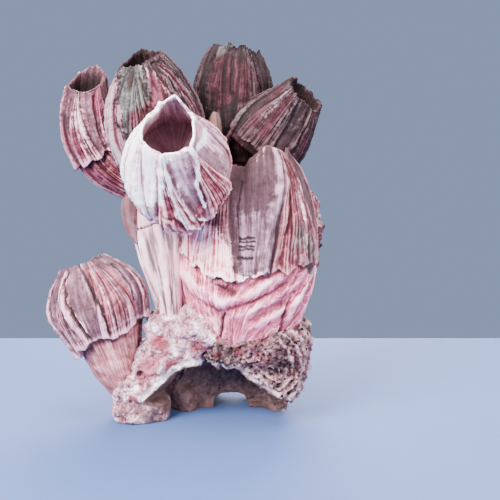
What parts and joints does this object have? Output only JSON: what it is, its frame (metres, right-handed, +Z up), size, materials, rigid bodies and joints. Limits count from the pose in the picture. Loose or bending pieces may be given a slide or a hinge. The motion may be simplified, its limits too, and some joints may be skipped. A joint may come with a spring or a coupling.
{
  "type": "barnacle cluster",
  "caption": "Cluster of large acorn barnacles grown together on a worn crust, with ribbed shells, open toothed mouths and a hollow under its base.",
  "frame": {"origin": "centre of the footprint of the whole cluster, on the ground it rests on", "axes": "+Z up, -Y towards the viewer that the open front barnacle faces, +X to that viewer's right"},
  "size_m": [0.115, 0.0908, 0.152],
  "materials": {
    "front_shell": "matt",
    "trunk_shell": "matt",
    "upper_shell": "matt",
    "lower_shell": "matt",
    "beak": "matt",
    "stem": "matt",
    "foot": "matt",
    "crust": "matt"
  },
  "bodies": {
    "root": {"front_barnacle": "front_shell", "trunk_barnacle": "trunk_shell", "upper_middle_barnacle": "upper_shell", "upper_right_barnacle": "upper_shell", "upper_back_barnacle": "upper_shell", "upper_left_barnacle": "upper_shell", "lower_left_barnacle": "lower_shell", "side_flake": "stem", "beak_plate": "beak", "pale_stem": "stem", "left_foot": "foot", "base_crust": "crust", "back_crust": "crust"}
  },
  "joints": []
}
